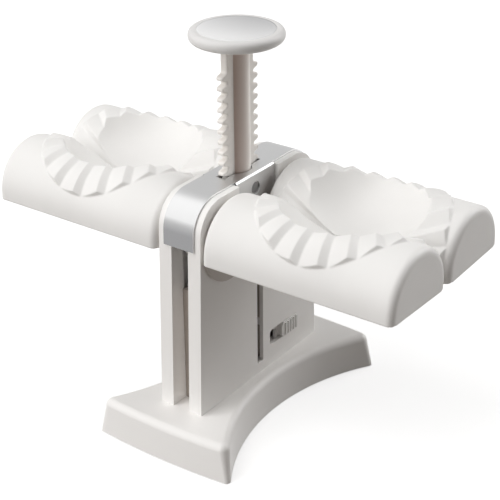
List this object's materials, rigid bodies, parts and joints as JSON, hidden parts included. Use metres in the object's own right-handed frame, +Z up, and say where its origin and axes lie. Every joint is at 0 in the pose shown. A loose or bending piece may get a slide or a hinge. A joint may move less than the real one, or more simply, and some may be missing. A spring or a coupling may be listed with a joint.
{
  "type": "dumpling mould",
  "caption": "Table press for dumplings: pushing the round knob down rolls the pleated mould halves together on both sides of a column.",
  "frame": {"origin": "middle of the base, on the table", "axes": "+X along the mould axes to the side with the lock slider, +Y from the front to the back, +Z up"},
  "size_m": [0.26, 0.1546, 0.2265],
  "materials": {
    "white_plastic": "satin moulded plastic",
    "rack_plastic": "satin moulded plastic",
    "drive_plastic": "plain moulded plastic",
    "satin_metal": "satin",
    "steel": "bright",
    "foot_rubber": "plain"
  },
  "bodies": {
    "stand": {"base_shell": "white_plastic", "base_feet": "foot_rubber", "base_screws": "steel", "column_shell_right": "white_plastic", "column_shell_left": "white_plastic", "column_core": "white_plastic", "column_screws": "steel", "saddle_cover": "satin_metal", "saddle_rivets": "steel", "return_spring": "steel"},
    "press": {"press_rack": "rack_plastic", "rack_stop_pin": "steel", "press_knob": "white_plastic", "knob_cap": "white_plastic", "knob_screw": "steel"},
    "front_shaft": {"pinion_front": "drive_plastic", "axle_front": "steel", "axle_clips_front": "steel", "hub_right_front": "white_plastic", "hub_left_front": "white_plastic", "mould_right_front": "white_plastic", "mould_left_front": "white_plastic"},
    "back_shaft": {"pinion_back": "drive_plastic", "axle_back": "steel", "axle_clips_back": "steel", "hub_right_back": "white_plastic", "hub_left_back": "white_plastic", "mould_right_back": "white_plastic", "mould_left_back": "white_plastic"},
    "lock": {"lock_slider": "white_plastic"}
  },
  "joints": [
    {"name": "press_slide", "type": "slide", "parent": "stand", "child": "press", "axis": [0, 0, 1], "range_m": [-0.038, 0], "stiffness_N_per_m": 200, "springref_m": 0.02, "deforming": ["return_spring"]},
    {"name": "front_roll", "type": "hinge", "parent": "stand", "child": "front_shaft", "pos_m": [0, -0.02825, 0.1195], "axis": [1, 0, 0], "range_deg": [-153.5, 0]},
    {"name": "back_roll", "type": "hinge", "parent": "stand", "child": "back_shaft", "pos_m": [0, 0.02825, 0.1195], "axis": [1, 0, 0], "range_deg": [0, 153.5]},
    {"name": "lock_slide", "type": "slide", "parent": "stand", "child": "lock", "axis": [0, -1, 0], "range_m": [0, 0.011]}
  ],
  "couplings": [
    {"joint": "front_roll", "follows": "press_slide", "rad_per_m": 70.175},
    {"joint": "back_roll", "follows": "press_slide", "rad_per_m": -70.175}
  ]
}
